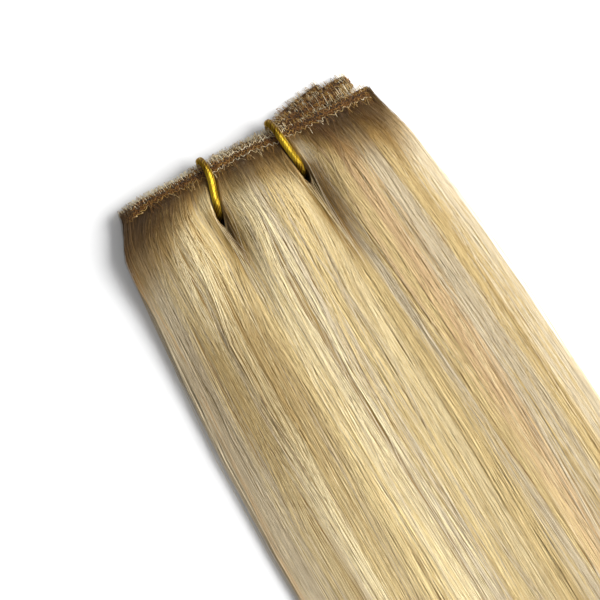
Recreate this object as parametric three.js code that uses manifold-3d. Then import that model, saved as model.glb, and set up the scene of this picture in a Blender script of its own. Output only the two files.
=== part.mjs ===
// A machine-sewn hair weft, folded into a flat pack of four layers and tied twice with elastic cord.
// Millimetres. The band runs along X, the hair lies toward -Y, and the table is at Z = 0.
import * as THREE from 'three';
import { mergeVertices } from 'three/addons/utils/BufferGeometryUtils.js';
import Module from 'manifold-3d';

const wasm = await Module();
wasm.setup();

// The sewn band: a strip that is thinner at its two edges.
const BAND_WIDTH = 5;
const BAND_THICKNESS = 0.9;
const BAND_EDGE = 0.7;
const BAND_STEP = 4.5;
const FOLD_STEPS = 6;

// The hair. Each layer is a row of locks that overlap at their sides and part at their tips.
const HAIR_LENGTH = 400;
const SIDE_ROUND = 3;
const LAYER_COUNT = 4;
const LAYER_GAP = 0.4;
const ROOT_GAP = 0.6;
const ROOT_THICKNESS = 0.5;
const ROOT_SWELL = 9;
const FLARE_LEFT = 11;
const FLARE_RIGHT = 28;
const LOCK_OVERLAP = 1.2;
const FUSE_TOLERANCE = 0.01;
const LOCK_SWAY = 1.6;
const SWAY_WAVE = 95;
const SWAY_START = 40;
const SWAY_SHIFT = 2.4;
const TIP_START = 0.75;
const TIP_WIDTH = 0.55;
const TIP_THICKNESS = 0.45;
const SHORTEST_LOCK = 0.93;
const LENGTH_SHIFT = 4.1;

// The ties, and what they do to the pile: a groove under their top run, a lift over their lower run
// and a slit where they pass through the hair.
const TIE_DIAMETER = 2.3;
const TIE_CLEAR = 0.35;
const TIE_SIDES = 8;
const TIE_STEPS = 56;
const TIE_DIVE_Y = -14.8;
const TIE_FLOOR_Z = TIE_DIAMETER / 2 + 0.25;
const GROOVE_DEPTH = 4.4;
const GROOVE_WIDTH = 7.5;
const LIFT_HEIGHT = 3.2;
const LIFT_WIDTH = 6.8;
const SLIT_HALF_WIDTH = 1.65;
const SHARE_HALVINGS = 20;
const TIES = [
  { name: 'tie_left', backX: -15, diveX: -19.4, backClear: 0.4 },
  { name: 'tie_right', backX: 12, diveX: 12.6, backClear: 0.9 },
];

// A tie's route, in turn: along the top of the pile, down behind the band, along the table, and up
// through the hair. outward is measured from the back of the band, forward from the dive.
const TIE_TOP_YS = [-11.5, -7, -2, 3];
const TIE_BACK = [
  { outward: -0.5, z: 6.7 },
  { outward: 0.1, z: 3.6 },
  { outward: -1.1, z: 1.65 },
];
const TIE_UNDER_YS = [4, -3, -9, -12.9];
const TIE_RISE = [
  { forward: 0, z: 3.45 },
  { forward: 0.2, z: 7.05 },
];
const TIE_TURN = { forward: -0.5, below: 2.2 };

// How far along a lock its sections lie from the band, and how wide the slit round a tie is there.
const STATIONS = [
  { run: 0, slit: 0 },
  { run: 5, slit: 0 },
  { run: 9.5, slit: 0.2 },
  { run: 12.5, slit: 1 },
  { run: 16, slit: 1 },
  { run: 19, slit: 1 },
  { run: 23, slit: 0.4 },
  { run: 29, slit: 0 },
  { run: 55, slit: 0 },
  { run: 100, slit: 0 },
  { run: 180, slit: 0 },
  { run: 300, slit: 0 },
  { run: HAIR_LENGTH, slit: 0 },
];

// A lock's section: across from side to side, and the share of its layer's thickness there.
const LOCK_SECTION = [
  { across: -1, share: 0.3 },
  { across: -0.5, share: 0.92 },
  { across: 0.5, share: 0.92 },
  { across: 1, share: 0.3 },
];

// The whole pile of hair, from the tips to the back of the band. sideDrop is the share of its height
// lost at the sides; groove and lift say how much of the ties' dent and lift there is.
const PILE = [
  { y: -420, crown: 4.2, halfWidth: 57, sideDrop: 0.55, groove: 0, lift: 0 },
  { y: -300, crown: 5.6, halfWidth: 58.5, sideDrop: 0.6, groove: 0, lift: 0 },
  { y: -200, crown: 7, halfWidth: 59, sideDrop: 0.62, groove: 0, lift: 0 },
  { y: -120, crown: 8.8, halfWidth: 58.8, sideDrop: 0.62, groove: 0.06, lift: 0 },
  { y: -70, crown: 10.8, halfWidth: 57.2, sideDrop: 0.62, groove: 0.22, lift: 0 },
  { y: -36, crown: 13.2, halfWidth: 55.2, sideDrop: 0.6, groove: 0.65, lift: 0 },
  { y: -23, crown: 14.3, halfWidth: 54.3, sideDrop: 0.55, groove: 0.95, lift: 0.3 },
  { y: -15, crown: 14.4, halfWidth: 53.5, sideDrop: 0.48, groove: 1, lift: 1 },
  { y: -6, crown: 12.4, halfWidth: 51.8, sideDrop: 0.46, groove: 0.75, lift: 1 },
  { y: 0, crown: 9.8, halfWidth: 49.5, sideDrop: 0.42, groove: 0.2, lift: 1 },
  { y: 5, crown: 7.7, halfWidth: 48.5, sideDrop: 0.34, groove: 0, lift: 1 },
  { y: 10, crown: 6.6, halfWidth: 48, sideDrop: 0.22, groove: 0, lift: 1 },
  { y: 18, crown: 5.2, halfWidth: 48, sideDrop: 0.2, groove: 0, lift: 0.5 },
];

// The layers from the top down: the ends of each run of the band, the share of the pile's width that
// its hair takes, and how many locks it has in each of the three bays between the sides and the ties.
const LAYERS = [
  { name: 'hair_layer_1', left: -46, right: 48.8, spread: 0.98, locks: 3 },
  { name: 'hair_layer_2', left: -46, right: 43.5, spread: 0.985, locks: 2 },
  { name: 'hair_layer_3', left: -45.5, right: 43.5, spread: 0.99, locks: 2 },
  { name: 'hair_layer_4', left: -45.5, right: 36.5, spread: 1, locks: 2 },
];

// How far back each layer's hair edge lies: at its left end, where it starts to bend toward that end,
// under both ties and between them, just past the right tie, where the lower layers fan out, and at
// its right end.
const HAIR_EDGES = {
  hair_layer_1: { left: -2.2, bend: -0.6, tieLeft: -0.8, mid: -0.4, tieRight: -1.4, fan: -1.6, right: -0.4 },
  hair_layer_2: { left: -1.5, bend: 0, tieLeft: -0.2, mid: 1.6, tieRight: -0.1, fan: 3.4, right: 6.2 },
  hair_layer_3: { left: -0.8, bend: 0.5, tieLeft: 0.2, mid: 2.2, tieRight: 0.6, fan: 5.8, right: 8.2 },
  hair_layer_4: { left: -0.1, bend: 1.1, tieLeft: 0.6, mid: 2.8, tieRight: 1.2, fan: 7.4, right: 10.4 },
};
const BEND_X = -38;
const MIDDLE_X = -2;
const FAN_X = 22;

const hairMaterial = new THREE.MeshStandardMaterial({ color: 0xd9bd8c, roughness: 0.45, metalness: 0 });
const bandMaterial = new THREE.MeshStandardMaterial({ color: 0x9c7446, roughness: 0.8, metalness: 0 });
const tieMaterial = new THREE.MeshStandardMaterial({ color: 0xc79a3e, roughness: 0.35, metalness: 0.8 });

const { clamp, lerp, smoothstep } = THREE.MathUtils;

// A smooth curve through a table's rows that never swings past their values.
function curveThrough(rows, along, column) {
  const at = rows.map((row) => row[along]);
  const value = rows.map((row) => row[column]);
  const rise = at.slice(1).map((next, i) => (value[i + 1] - value[i]) / (next - at[i]));
  const slope = value.map((_, i) => {
    const before = rise[Math.max(i - 1, 0)];
    const after = rise[Math.min(i, rise.length - 1)];
    return before * after > 0 ? (2 * before * after) / (before + after) : 0;
  });
  return (place) => {
    const p = clamp(place, at[0], at[at.length - 1]);
    const after = at.findIndex((edge, i) => i > 0 && edge >= p);
    const k = after - 1;
    const span = at[after] - at[k];
    const t = (p - at[k]) / span;
    const bend = t * (1 - t) * ((1 - t) * (slope[k] - rise[k]) - t * (slope[after] - rise[k]));
    return lerp(value[k], value[after], t) + span * bend;
  };
}

const crown = curveThrough(PILE, 'y', 'crown');
const halfWidth = curveThrough(PILE, 'y', 'halfWidth');
const sideDrop = curveThrough(PILE, 'y', 'sideDrop');
const groove = curveThrough(PILE, 'y', 'groove');
const lift = curveThrough(PILE, 'y', 'lift');
const slit = curveThrough(STATIONS, 'run', 'slit');

// Where a tie lies across the band, and past its dive where the parting behind it runs.
function tieX(tie, y) {
  if (y < TIE_DIVE_Y) return tie.diveX * halfWidth(y) / halfWidth(TIE_DIVE_Y);
  return lerp(tie.diveX, tie.backX, Math.min(1 - y / TIE_DIVE_Y, 1));
}

// 1 on a tie's line, falling to nothing beside it.
function nearTies(x, y, width, power) {
  return TIES.reduce((sum, tie) => sum + Math.exp(-(Math.abs((x - tieX(tie, y)) / width) ** power)), 0);
}

// The height of the surface above the lowest `level` layers at a place; level 0 is the underside.
function surface(level, x, y) {
  const under = LIFT_HEIGHT * lift(y) * nearTies(x, y, LIFT_WIDTH, 4);
  const side = Math.min(Math.abs(x) / halfWidth(y), 1);
  const dome = crown(y) * (1 - sideDrop(y) * side ** SIDE_ROUND);
  const top = dome - GROOVE_DEPTH * groove(y) * nearTies(x, y, GROOVE_WIDTH, 2);
  return lerp(under, top, level / LAYER_COUNT);
}

function levelOf(layer) {
  return LAYER_COUNT - LAYERS.indexOf(layer);
}

// The middle of a layer's thickness at a place.
function layerMiddle(layer, x, y) {
  const level = levelOf(layer);
  return (surface(level, x, y) + surface(level - 1, x, y)) / 2;
}

// The line of a layer's band where the hair comes out of it.
function hairEdge(layer) {
  const back = HAIR_EDGES[layer.name];
  const [tieLeft, tieRight] = TIES;
  return curveThrough([
    { x: layer.left, y: back.left },
    { x: BEND_X, y: back.bend },
    { x: tieLeft.backX, y: back.tieLeft },
    { x: MIDDLE_X, y: back.mid },
    { x: tieRight.backX, y: back.tieRight },
    { x: FAN_X, y: back.fan },
    { x: layer.right, y: back.right },
  ], 'x', 'y');
}

// Skins closed rings of points, one after another, into a body with closed ends.
// A ring goes along one side of its section and back along the other.
function loft(rings) {
  const sides = rings[0].length;
  const positions = rings.flat().flatMap((point) => point.toArray());
  const index = [];
  for (let ring = 0; ring + 1 < rings.length; ring += 1) {
    for (let side = 0; side < sides; side += 1) {
      const a = ring * sides + side;
      const b = ring * sides + (side + 1) % sides;
      index.push(a, b, a + sides, b, b + sides, a + sides);
    }
  }
  const last = (rings.length - 1) * sides;
  for (let side = 0; side + 1 < sides / 2; side += 1) {
    const [a, b, c, d] = [side, side + 1, sides - 2 - side, sides - 1 - side];
    index.push(a, c, b, a, d, c);
    index.push(last + a, last + b, last + c, last + a, last + c, last + d);
  }
  const geometry = new THREE.BufferGeometry();
  geometry.setAttribute('position', new THREE.Float32BufferAttribute(positions, 3));
  geometry.setIndex(index);
  return geometry;
}

function toSolid(geometry) {
  const merged = mergeVertices(geometry);
  const vertProperties = new Float32Array(merged.attributes.position.array);
  const triVerts = new Uint32Array(merged.index.array);
  return new wasm.Manifold(new wasm.Mesh({ numProp: 3, vertProperties, triVerts }));
}

function fuse(geometries) {
  const [first, ...rest] = geometries.map(toSolid);
  const mesh = rest.reduce((sum, next) => sum.add(next), first).setTolerance(FUSE_TOLERANCE).getMesh();
  const geometry = new THREE.BufferGeometry();
  geometry.setAttribute('position', new THREE.BufferAttribute(mesh.vertProperties, mesh.numProp));
  geometry.setIndex(new THREE.BufferAttribute(mesh.triVerts, 1));
  return geometry;
}

// Across a layer, share 0 is its left side and share 1 its right side. The hair leaves the band
// where it is sewn in and spreads to the pile's width.
function hairX(layer, share, y, run) {
  const root = lerp(layer.left, layer.right, share);
  const spread = (2 * share - 1) * halfWidth(y) * layer.spread;
  const still = 1 - Math.min(run / lerp(FLARE_LEFT, FLARE_RIGHT, share), 1);
  return lerp(spread, root, still ** 2);
}

// The share of a layer's width at which a tie passes down through it.
function tieShare(layer, tie) {
  let [low, high] = [0, 1];
  for (let halving = 0; halving < SHARE_HALVINGS; halving += 1) {
    const share = (low + high) / 2;
    const run = hairEdge(layer)(lerp(layer.left, layer.right, share)) - TIE_DIVE_Y;
    if (hairX(layer, share, TIE_DIVE_Y, run) < tie.diveX) low = share;
    else high = share;
  }
  return (low + high) / 2;
}

// The locks of a layer: a few in each of the three bays that the ties leave.
function lockSides(layer) {
  const edges = [0, ...TIES.map((tie) => tieShare(layer, tie)), 1];
  const locks = [];
  for (let bay = 0; bay + 1 < edges.length; bay += 1) {
    for (let i = 0; i < layer.locks; i += 1) {
      locks.push({
        from: lerp(edges[bay], edges[bay + 1], i / layer.locks),
        to: lerp(edges[bay], edges[bay + 1], (i + 1) / layer.locks),
        slitFrom: bay > 0 && i === 0,
        slitTo: bay < TIES.length && i === layer.locks - 1,
      });
    }
  }
  return locks;
}

// How far a lock reaches past its own side, as a length: over its neighbour, or back from a tie.
function sideReach(run, isOuter, isSlit) {
  const open = SLIT_HALF_WIDTH * slit(run);
  if (isOuter) return 0;
  return isSlit && open > 0 ? -open : LOCK_OVERLAP;
}

function lockGeometry(layer, lock, number) {
  const level = levelOf(layer);
  const edge = hairEdge(layer);
  const phase = number * SWAY_SHIFT + level;
  const length = HAIR_LENGTH * lerp(SHORTEST_LOCK, 1, (1 + Math.sin(number * LENGTH_SHIFT + level)) / 2);
  const rings = STATIONS.map((station) => {
    const run = ROOT_GAP + station.run * (length - ROOT_GAP) / HAIR_LENGTH;
    const tip = smoothstep(run / length, TIP_START, 1);
    const thickness = lerp(ROOT_THICKNESS, 1, smoothstep(run, 0, ROOT_SWELL)) * lerp(1, TIP_THICKNESS, tip);
    const width = hairX(layer, 1, -run, run) - hairX(layer, 0, -run, run);
    const from = lock.from - sideReach(run, lock.from === 0, lock.slitFrom) / width;
    const to = lock.to + sideReach(run, lock.to === 1, lock.slitTo) / width;
    const sway = LOCK_SWAY * smoothstep(run, SWAY_START, HAIR_LENGTH / 2) * Math.sin(run / SWAY_WAVE + phase);
    const middle = (from + to) / 2 + sway / width;
    const half = (to - from) / 2 * lerp(1, TIP_WIDTH, tip);
    const upper = [];
    const lower = [];
    for (const { across, share } of LOCK_SECTION) {
      const place = middle + across * half;
      const y = edge(lerp(layer.left, layer.right, place)) - run;
      const x = hairX(layer, place, y, run);
      const roof = surface(level, x, y) - LAYER_GAP / 2;
      const floor = surface(level - 1, x, y) + (level > 1 ? LAYER_GAP / 2 : 0);
      const centre = level > 1 ? (roof + floor) / 2 : floor;
      upper.push(new THREE.Vector3(x, y, lerp(centre, roof, share * thickness)));
      lower.push(new THREE.Vector3(x, y, lerp(centre, floor, share * thickness)));
    }
    return [...lower, ...upper.reverse()];
  });
  return loft(rings);
}

// One run of the band, from its left end to its right end: its two edges at each step.
function bandRun(layer) {
  const edge = hairEdge(layer);
  const steps = Math.round((layer.right - layer.left) / BAND_STEP);
  const run = [];
  for (let i = 0; i <= steps; i += 1) {
    const x = lerp(layer.left, layer.right, i / steps);
    const front = new THREE.Vector3(x, edge(x), layerMiddle(layer, x, edge(x)));
    const turn = Math.atan2(edge(x + 1) - edge(x - 1), 2);
    const back = new THREE.Vector3(x - BAND_WIDTH * Math.sin(turn), edge(x) + BAND_WIDTH * Math.cos(turn), 0);
    back.z = layerMiddle(layer, back.x, back.y);
    const across = back.sub(front).setLength(BAND_WIDTH);
    run.push({ front, back: front.clone().add(across) });
  }
  return run;
}

// The round fold between the end of one run and the start of the next.
function bandFold(from, to, outward) {
  const swing = (start, end, angle) => {
    const middle = start.clone().lerp(end, 0.5);
    const out = new THREE.Vector3(outward * start.distanceTo(end) / 2 * Math.sin(angle), 0, 0);
    return start.clone().sub(middle).multiplyScalar(Math.cos(angle)).add(middle).add(out);
  };
  const fold = [];
  for (let i = 1; i < FOLD_STEPS; i += 1) {
    const angle = Math.PI * i / FOLD_STEPS;
    fold.push({ front: swing(from.front, to.front, angle), back: swing(from.back, to.back, angle) });
  }
  return fold;
}

// The band from its free end on top, at the right, to its free end on the table.
function bandGeometry() {
  const sections = [];
  LAYERS.forEach((layer, number) => {
    const toLeft = number % 2 === 0;
    const run = toLeft ? bandRun(layer).reverse() : bandRun(layer);
    if (number > 0) sections.push(...bandFold(sections[sections.length - 1], run[0], toLeft ? 1 : -1));
    sections.push(...run);
  });
  const centre = sections.map(({ front, back }) => front.clone().lerp(back, 0.5));
  const rings = sections.map(({ front, back }, i) => {
    const along = centre[Math.min(i + 1, centre.length - 1)].clone().sub(centre[Math.max(i - 1, 0)]);
    const inward = front.clone().sub(back).setLength(BAND_EDGE);
    const up = along.cross(inward).setLength(BAND_THICKNESS / 2);
    const nearFront = front.clone().sub(inward);
    const nearBack = back.clone().add(inward);
    return [
      front,
      nearFront.clone().add(up),
      nearBack.clone().add(up),
      back,
      nearBack.clone().sub(up),
      nearFront.clone().sub(up),
    ];
  });
  return loft(rings);
}

function tieGeometry(tie) {
  const radius = TIE_DIAMETER / 2;
  const bottomLayer = LAYERS[LAYER_COUNT - 1];
  const place = (y, z) => new THREE.Vector3(tieX(tie, y), y, z);
  const over = (y) => place(y, surface(LAYER_COUNT, tieX(tie, y), y) + radius + TIE_CLEAR);
  const backY = hairEdge(bottomLayer)(tie.backX) + BAND_WIDTH + tie.backClear + radius;
  const route = [
    ...TIE_TOP_YS.map(over),
    ...TIE_BACK.map(({ outward, z }) => place(backY + outward, z)),
    ...TIE_UNDER_YS.map((y) => place(y, TIE_FLOOR_Z)),
    ...TIE_RISE.map(({ forward, z }) => place(TIE_DIVE_Y - forward, z)),
    place(TIE_DIVE_Y - TIE_TURN.forward, over(TIE_DIVE_Y).z - TIE_TURN.below),
  ];
  const loop = new THREE.CatmullRomCurve3(route, true);
  const tube = new THREE.TubeGeometry(loop, TIE_STEPS, radius, TIE_SIDES, true);
  tube.deleteAttribute('normal');
  tube.deleteAttribute('uv');
  return mergeVertices(tube);
}

const weft = new THREE.Group();

function addPiece(name, geometry, material) {
  const piece = new THREE.Mesh(geometry, material);
  piece.name = name;
  weft.add(piece);
}

addPiece('sewn_band', bandGeometry(), bandMaterial);
LAYERS.forEach((layer) => {
  const locks = lockSides(layer).map((lock, number) => lockGeometry(layer, lock, number));
  addPiece(layer.name, fuse(locks), hairMaterial);
});
TIES.forEach((tie) => addPiece(tie.name, tieGeometry(tie), tieMaterial));

// The origin is on the table, under the middle of the whole pack.
const box = new THREE.Box3().setFromObject(weft);
weft.position.set(-(box.min.x + box.max.x) / 2, -(box.min.y + box.max.y) / 2, -box.min.z);

export default weft;
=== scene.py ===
"""Dresses a folded hair weft: strands, sewn band, gold ties, floor, light and camera."""

from collections import namedtuple
from math import pi, radians

import bmesh
import bpy
import numpy as np
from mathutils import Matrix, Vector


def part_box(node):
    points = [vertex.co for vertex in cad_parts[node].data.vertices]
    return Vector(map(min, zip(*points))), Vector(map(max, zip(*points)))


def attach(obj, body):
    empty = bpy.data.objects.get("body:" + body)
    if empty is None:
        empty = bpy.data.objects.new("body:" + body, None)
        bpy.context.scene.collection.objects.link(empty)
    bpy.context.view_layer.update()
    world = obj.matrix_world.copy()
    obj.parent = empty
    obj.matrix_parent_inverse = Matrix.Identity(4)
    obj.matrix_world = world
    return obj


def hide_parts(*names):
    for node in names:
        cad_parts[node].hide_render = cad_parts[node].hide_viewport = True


bl_info = {
    "name": "Hair Weft",
    "version": (1, 0, 0),
    "blender": (4, 5, 0),
    "location": "View3D > Sidebar > Hair Weft",
    "description": "Builds the strands, stitches and cords of a folded hair weft",
    "category": "Object",
}

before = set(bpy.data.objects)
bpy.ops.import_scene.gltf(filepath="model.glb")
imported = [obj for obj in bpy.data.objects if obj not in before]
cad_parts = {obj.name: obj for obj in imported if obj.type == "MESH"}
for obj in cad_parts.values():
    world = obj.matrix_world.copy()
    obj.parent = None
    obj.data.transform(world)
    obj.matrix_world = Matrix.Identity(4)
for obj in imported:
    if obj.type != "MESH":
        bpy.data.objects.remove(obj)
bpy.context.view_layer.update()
MM = 0.001
MAP_NAME = "OFBake"
BUMP_DEPTH = 0.0003

# The pack's own sizes, in millimetres from the middle of its band, as the solids have them.
PACK_SHIFT = (-0.11728, 192.79271, 0.0)
BAND_WIDTH = 5.0
BAND_STEP = 0.5
FOLD_STEPS = 12
HAIR_LENGTH = 400.0
LAYER_COUNT = 4
LAYER_GAP = 0.4
TABLE_CLEAR = 0.02
UNDER_CLEAR = 0.2
ROOT_THICKNESS = 0.5
ROOT_SWELL = 9.0
SIDE_ROUND = 3.0
FLARE_LEFT = 11.0
FLARE_RIGHT = 28.0
LOCK_SWAY = 1.6
SWAY_WAVE = 95.0
SWAY_START = 40.0
SWAY_SHIFT = 2.4
TIP_START = 0.75
TIP_WIDTH = 0.55
TIP_THICKNESS = 0.45
SHORTEST_LOCK = 0.93
LENGTH_SHIFT = 4.1
TIE_RADIUS = 1.15
TIE_CLEAR = 0.35
TIE_DIVE_Y = -14.8
TIE_FLOOR_Z = TIE_RADIUS + 0.25
GROOVE_DEPTH = 4.4
GROOVE_WIDTH = 7.5
LIFT_HEIGHT = 3.2
LIFT_WIDTH = 6.8
BEND_X = -38.0
MIDDLE_X = -2.0
FAN_X = 22.0
HALVINGS = 20

Tie = namedtuple("Tie", "name back_x dive_x back_clear")
TIES = (
    Tie("tie_left", -15.0, -19.4, 0.4),
    Tie("tie_right", 12.0, 12.6, 0.9),
)
TIE_TOP_YS = (-11.5, -7.0, -2.0, 3.0)
TIE_BACK = ((-0.5, 6.7), (0.1, 3.6), (-1.1, 1.65))
TIE_UNDER_YS = (4.0, -3.0, -9.0, -12.9)
TIE_RISE = ((0.0, 3.45), (0.2, 7.05))
TIE_TURN = (-0.5, 2.2)

# How wide the hair parts round a tie, along the pack: the top layer, and those below it.
PARTING_TOP = ((-420, 0), (-29, 0), (-21, 0.72), (-17, 1), (-12.5, 0.9), (-9.5, 0), (30, 0))
PARTING_LOW = ((-420, 0), (-19.5, 0), (-17.4, 0.9), (-16.3, 1), (-12.5, 1), (-9.5, 0), (30, 0))
PARTING_HALF_WIDTH = 1.6
PARTING_CROSS = 6.0
PARTING_SOFT = 0.1

# How each tie draws the hair on its left and right: by what share of its distance, how wide, and
# where along the pack and over what length.
Draw = namedtuple("Draw", "share width y length")
DRAWS = (
    (Draw(0.55, 11.0, -30.0, 19.0), Draw(-0.40, 9.0, -25.0, 13.0)),
    (Draw(0.50, 11.0, -30.0, 19.0), Draw(0.45, 9.0, -30.0, 19.0)),
)

# How the hair swells up beside the ties: how far, how wide, from how close, and along which part.
BED_HEIGHT = 2.2
BED_WIDTH = 3.5
BED_BESIDE = (0.1, 1.2)
BED_ALONG = (1, 6, 15, 24)

PileRow = namedtuple("PileRow", "y crown half_width side_drop groove lift")
PILE = (
    PileRow(-420, 4.2, 57.0, 0.55, 0.0, 0.0),
    PileRow(-300, 5.6, 58.5, 0.60, 0.0, 0.0),
    PileRow(-200, 7.0, 59.0, 0.62, 0.0, 0.0),
    PileRow(-120, 8.8, 58.8, 0.62, 0.06, 0.0),
    PileRow(-70, 10.8, 57.2, 0.62, 0.22, 0.0),
    PileRow(-36, 13.2, 55.2, 0.60, 0.65, 0.0),
    PileRow(-23, 14.3, 54.3, 0.55, 0.95, 0.3),
    PileRow(-15, 14.4, 53.5, 0.48, 1.0, 1.0),
    PileRow(-6, 12.4, 51.8, 0.46, 0.75, 1.0),
    PileRow(0, 9.8, 49.5, 0.42, 0.2, 1.0),
    PileRow(5, 7.7, 48.5, 0.34, 0.0, 1.0),
    PileRow(10, 6.6, 48.0, 0.22, 0.0, 1.0),
    PileRow(18, 5.2, 48.0, 0.20, 0.0, 0.5),
)

# A layer's run of band, its share of the pile's width, its locks in each bay between the ties, and
# how far back its hair edge lies at seven places from left to right.
Layer = namedtuple("Layer", "name level left right spread locks edge")
LAYERS = (
    Layer("hair_layer_1", 4, -46.0, 48.8, 0.98, 3, (-2.2, -0.6, -0.8, -0.4, -1.4, -1.6, -0.4)),
    Layer("hair_layer_2", 3, -46.0, 43.5, 0.985, 2, (-1.5, 0.0, -0.2, 1.6, -0.1, 3.4, 6.2)),
    Layer("hair_layer_3", 2, -45.5, 43.5, 0.99, 2, (-0.8, 0.5, 0.2, 2.2, 0.6, 5.8, 8.2)),
    Layer("hair_layer_4", 1, -45.5, 36.5, 1.00, 2, (-0.1, 1.1, 0.6, 2.8, 1.2, 7.4, 10.4)),
)
TOP = LAYERS[0]
BAYS = ("left", "middle", "right")
FOLDED_RIGHT = LAYERS[1:3]
FOLD_SHARE = 0.016

# The places along a hair where it may bend, in millimetres from the band.
STRAND_RUNS = np.array(
    [-1.2, 1, 4, 8, 12, 15, 18, 21, 25, 32, 44, 62, 90, 130, 190, 280, 400], float
)
HELD_RUNS = (-1, 14)


def srgb(red, green, blue):
    """The linear colour of a screen colour given in 0 to 255."""
    screen = np.array([red, green, blue]) / 255
    linear = np.where(screen <= 0.04045, screen / 12.92, ((screen + 0.055) / 1.055) ** 2.4)
    return tuple(linear.tolist())


def mix(a, b, share):
    """The value at a share of the way from a to b."""
    return a + (b - a) * share


def smooth(value, low, high):
    """Rises softly from 0 at low to 1 at high."""
    share = np.clip((value - low) / (high - low), 0, 1)
    return share * share * (3 - 2 * share)


def between(value, low, full, fade, gone):
    """Rises softly from low to full, and falls again from fade to gone."""
    return smooth(value, low, full) * (1 - smooth(value, fade, gone))


def bell(away, width):
    """1 at no distance, and next to nothing at twice the width."""
    return np.exp(-((away / width) ** 2))


def unit(vectors):
    """Vectors brought to a length of 1."""
    return vectors / np.linalg.norm(vectors, axis=-1, keepdims=True)


def in_frame(points):
    """Points in millimetres from the middle of the band, in the shared frame."""
    return (np.asarray(points) + PACK_SHIFT) * MM


def curve_through(rows):
    """A smooth curve through (place, value) rows that never swings past their values."""
    at, value = np.array(rows, float).T
    rise = np.diff(value) / np.diff(at)
    before = np.concatenate([rise[:1], rise])
    after = np.concatenate([rise, rise[-1:]])
    level = before * after <= 0
    slope = np.where(level, 0, 2 * before * after / np.where(level, 1, before + after))

    def curve(place):
        p = np.clip(place, at[0], at[-1])
        k = np.clip(np.searchsorted(at, p) - 1, 0, len(at) - 2)
        span = at[k + 1] - at[k]
        t = (p - at[k]) / span
        bend = t * (1 - t) * ((1 - t) * (slope[k] - rise[k]) - t * (slope[k + 1] - rise[k]))
        return mix(value[k], value[k + 1], t) + span * bend

    return curve


crown, half_width, side_drop, groove, lift = (
    curve_through([(row.y, row[column]) for row in PILE]) for column in range(1, 6))
parting_top, parting_low = (curve_through(rows) for rows in (PARTING_TOP, PARTING_LOW))


def tie_x(tie, y):
    """Where a tie lies across the band, and past its dive where the parting behind it runs."""
    parting = tie.dive_x * half_width(y) / half_width(TIE_DIVE_Y)
    over = mix(tie.dive_x, tie.back_x, np.minimum(1 - y / TIE_DIVE_Y, 1))
    return np.where(y < TIE_DIVE_Y, parting, over)


def near_ties(x, y, width, power):
    """1 at a tie, and less to both sides of it."""
    return sum(np.exp(-np.abs((x - tie_x(tie, y)) / width) ** power) for tie in TIES)


def surface(level, x, y):
    """The height above the lowest `level` layers at a place; level 0 is the underside."""
    under = LIFT_HEIGHT * lift(y) * near_ties(x, y, LIFT_WIDTH, 4)
    side = np.minimum(np.abs(x) / half_width(y), 1)
    dome = crown(y) * (1 - side_drop(y) * side**SIDE_ROUND)
    top = dome - GROOVE_DEPTH * groove(y) * near_ties(x, y, GROOVE_WIDTH, 2)
    return mix(under, top, level / LAYER_COUNT)


def layer_middle(layer, x, y):
    """The height of a layer's middle at a place."""
    return (surface(layer.level, x, y) + surface(layer.level - 1, x, y)) / 2


def hair_edge(layer):
    """The line of a layer's band where the hair comes out of it."""
    places = (layer.left, BEND_X, TIES[0].back_x, MIDDLE_X, TIES[1].back_x, FAN_X, layer.right)
    return curve_through(list(zip(places, layer.edge)))


def hair_x(layer, share, y, run):
    """Where a hair lies across: sewn in along the band, then spread to the pile's width."""
    root = mix(layer.left, layer.right, share)
    spread = (2 * share - 1) * half_width(y) * layer.spread
    still = 1 - np.clip(run / mix(FLARE_LEFT, FLARE_RIGHT, np.clip(share, 0, 1)), 0, 1)
    return mix(spread, root, still**2)


def hair_width(layer, run):
    """The width of a layer's hair at some runs."""
    return hair_x(layer, 1, -run, run) - hair_x(layer, 0, -run, run)


def tie_share(layer, tie):
    """The share of a layer's width at which a tie passes down through it."""
    edge = hair_edge(layer)
    low, high = 0.0, 1.0
    for _ in range(HALVINGS):
        share = (low + high) / 2
        run = edge(mix(layer.left, layer.right, share)) - TIE_DIVE_Y
        if hair_x(layer, share, TIE_DIVE_Y, run) < tie.dive_x:
            low = share
        else:
            high = share
    return (low + high) / 2


def bay_edges(layer):
    """The sides of a layer's three bays between the ties, from left to right."""
    return [0.0, *(tie_share(layer, tie) for tie in TIES), 1.0]


def lock_edges(layer):
    """The sides of a layer's locks, from left to right."""
    edges = bay_edges(layer)
    sides = [np.linspace(a, b, layer.locks + 1)[:-1] for a, b in zip(edges, edges[1:])]
    return np.concatenate([*sides, [1.0]])


def lock_of(edges, share):
    """The number of the lock that a hair is in."""
    return np.clip(np.searchsorted(edges, share) - 1, 0, len(edges) - 2)


# The slow waves of hairs: their size near the band and far from it, and how close they follow.
Waves = namedtuple("Waves", "near far rates")
WISP_WAVES = Waves(0.7, 1.6, (0.3, 0.6, 0.9))
HAIR_WAVES = Waves(0.4, 1.1, (0.35, 0.7, 1.1))
SIDE_WAVES = Waves(0.15, 0.45, (0.35, 0.7))
LIFT_WAVES = Waves(0.14, 0.18, (0.4, 0.9))
WAVE_RUN = 20.0
FAR_RUN = 90.0


def wander(rng, count, waves):
    """How far many hairs wander along their runs, in waves that grow away from the band."""
    along = np.log1p(np.maximum(STRAND_RUNS, 0) / WAVE_RUN)
    drift = np.zeros((count, len(STRAND_RUNS)))
    for rate in waves.rates:
        size = rng.normal(0, 1, (count, 1))
        phase = rng.uniform(0, 2 * pi, (count, 1))
        drift += size * np.sin(2 * pi * rate * along + phase)
    grown = mix(waves.near, waves.far, np.clip(STRAND_RUNS / FAR_RUN, 0, 1))
    return drift * grown / np.sqrt(len(waves.rates))


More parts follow.
